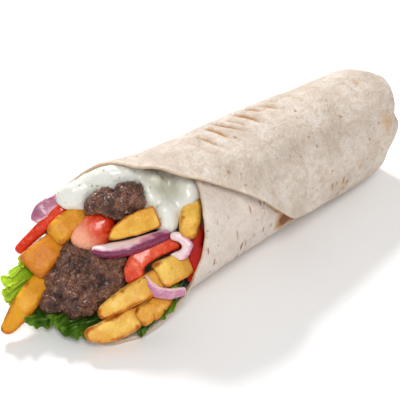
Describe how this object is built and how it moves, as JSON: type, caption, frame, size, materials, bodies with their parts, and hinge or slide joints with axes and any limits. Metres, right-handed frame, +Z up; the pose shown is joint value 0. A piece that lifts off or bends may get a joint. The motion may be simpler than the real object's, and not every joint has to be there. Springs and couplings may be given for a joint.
{
  "type": "souvlaki wrap",
  "caption": "Soft flatbread rolled into a tube with one tucked end, open at the other on chips, grilled minced meat, tomato, red onion, lettuce and tzatziki.",
  "frame": {"origin": "on the ground, under the middle of the rolled bread, where its flat underside rests", "axes": "+X along the roll towards its tucked end, -X towards the open mouth, +Z up, +Y away from the side that shows the flap"},
  "size_m": [0.2199, 0.0663, 0.064],
  "materials": {
    "flatbread": "soft matte flatbread, pale cream with small toasted specks",
    "chip": "fried potato, golden with browned edges and a thin film of oil",
    "meat": "grilled minced meat, dark and crumbly with greasy highlights",
    "tomato": "wet ripe tomato",
    "onion": "crisp red onion, purple at the edge and white inside",
    "lettuce": "fresh frilled leaf",
    "tzatziki": "thick glossy yoghurt sauce"
  },
  "bodies": {
    "root": {"flatbread": "flatbread", "lettuce": "lettuce", "tzatziki": "tzatziki", "chip_long": "chip", "chip_low_front": "chip", "chip_near_wall": "chip", "chip_far_low": "chip", "chip_far_thick": "chip", "chip_far_high": "chip", "chip_top_slab": "chip", "chip_under_sauce": "chip", "chip_short": "chip", "tomato_far": "tomato", "tomato_middle": "tomato", "tomato_right": "tomato", "tomato_near_wall": "tomato", "onion_middle": "onion", "onion_curl": "onion", "onion_low": "onion", "onion_far": "onion", "meat_large": "meat", "meat_small": "meat"}
  },
  "joints": []
}
